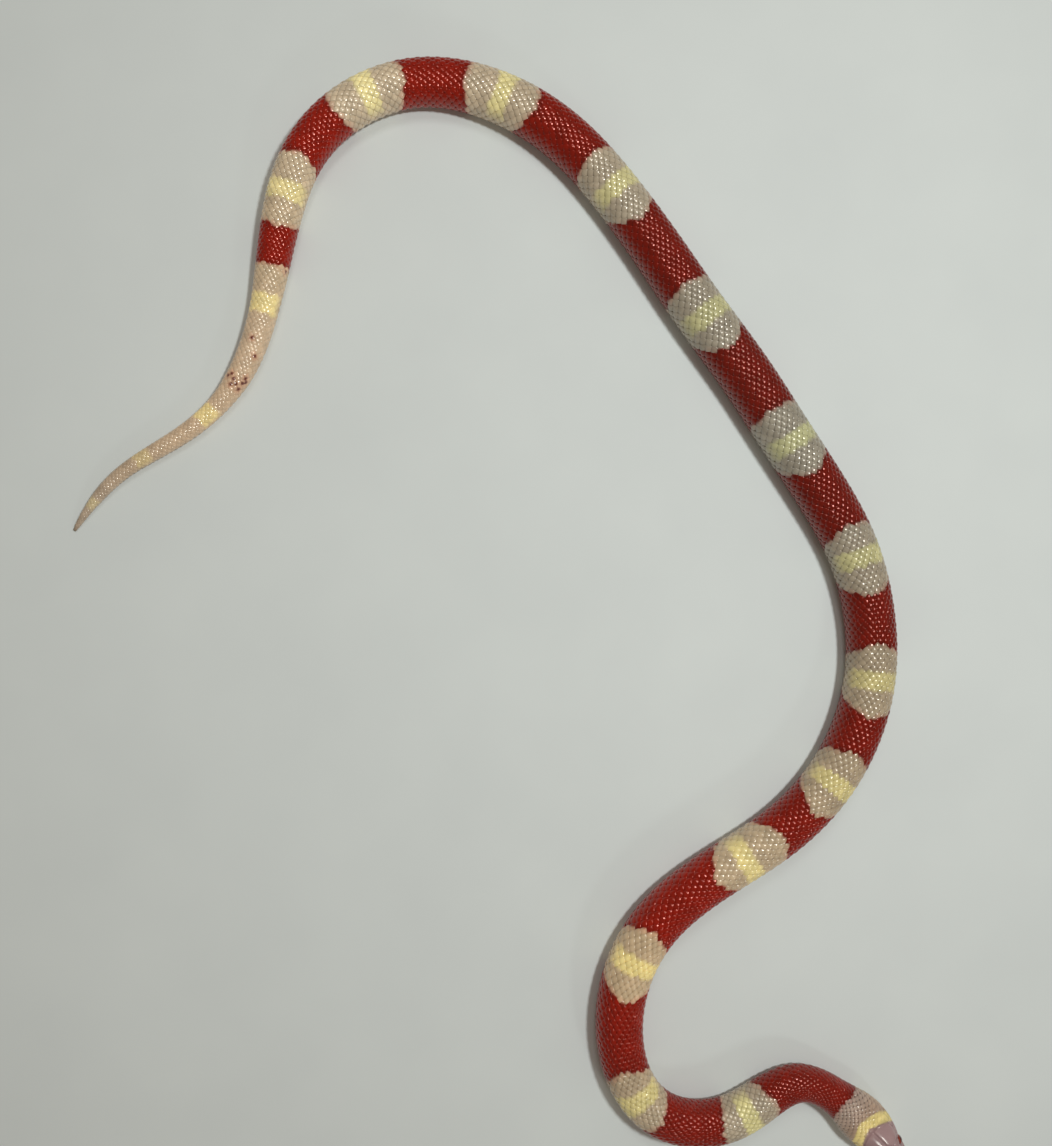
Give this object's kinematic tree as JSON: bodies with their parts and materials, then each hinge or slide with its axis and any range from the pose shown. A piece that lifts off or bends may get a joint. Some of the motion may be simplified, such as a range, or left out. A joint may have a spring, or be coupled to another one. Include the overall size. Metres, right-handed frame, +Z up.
{
  "type": "milk snake",
  "caption": "Still life-size model of a young albino milk snake lying in loose bends, with wide red rings between pale and yellow bands.",
  "frame": {"origin": "on the floor under the middle of the box round the whole animal", "axes": "+Z up from the floor, +Y the length of the pose, from the bend of the neck towards the far bend of the body, +X to the right in the view from above"},
  "size_m": [0.1682, 0.2241, 0.0092],
  "materials": {
    "ringed_scales": "smooth glossy scales, coral red rings between beige bands with yellow centres",
    "head_shields": "smooth glossy shields, mauve pink on the crown",
    "lip_shields": "smooth satin shields, pinkish cream",
    "tail_scales": "smooth glossy scales, pinkish tan with yellow bands",
    "eye": "wet gloss, red of an albino's eye"
  },
  "bodies": {
    "root": {"head": "head_shields", "lower_jaw": "lip_shields", "eye_left": "eye", "eye_right": "eye", "neck": "ringed_scales", "torso_1": "ringed_scales", "torso_2": "ringed_scales", "torso_3": "ringed_scales", "torso_4": "ringed_scales", "torso_5": "ringed_scales", "torso_6": "ringed_scales", "torso_7": "ringed_scales", "torso_8": "ringed_scales", "torso_9": "ringed_scales", "torso_10": "ringed_scales", "tail_base": "tail_scales", "tail_tip": "tail_scales"}
  },
  "joints": []
}
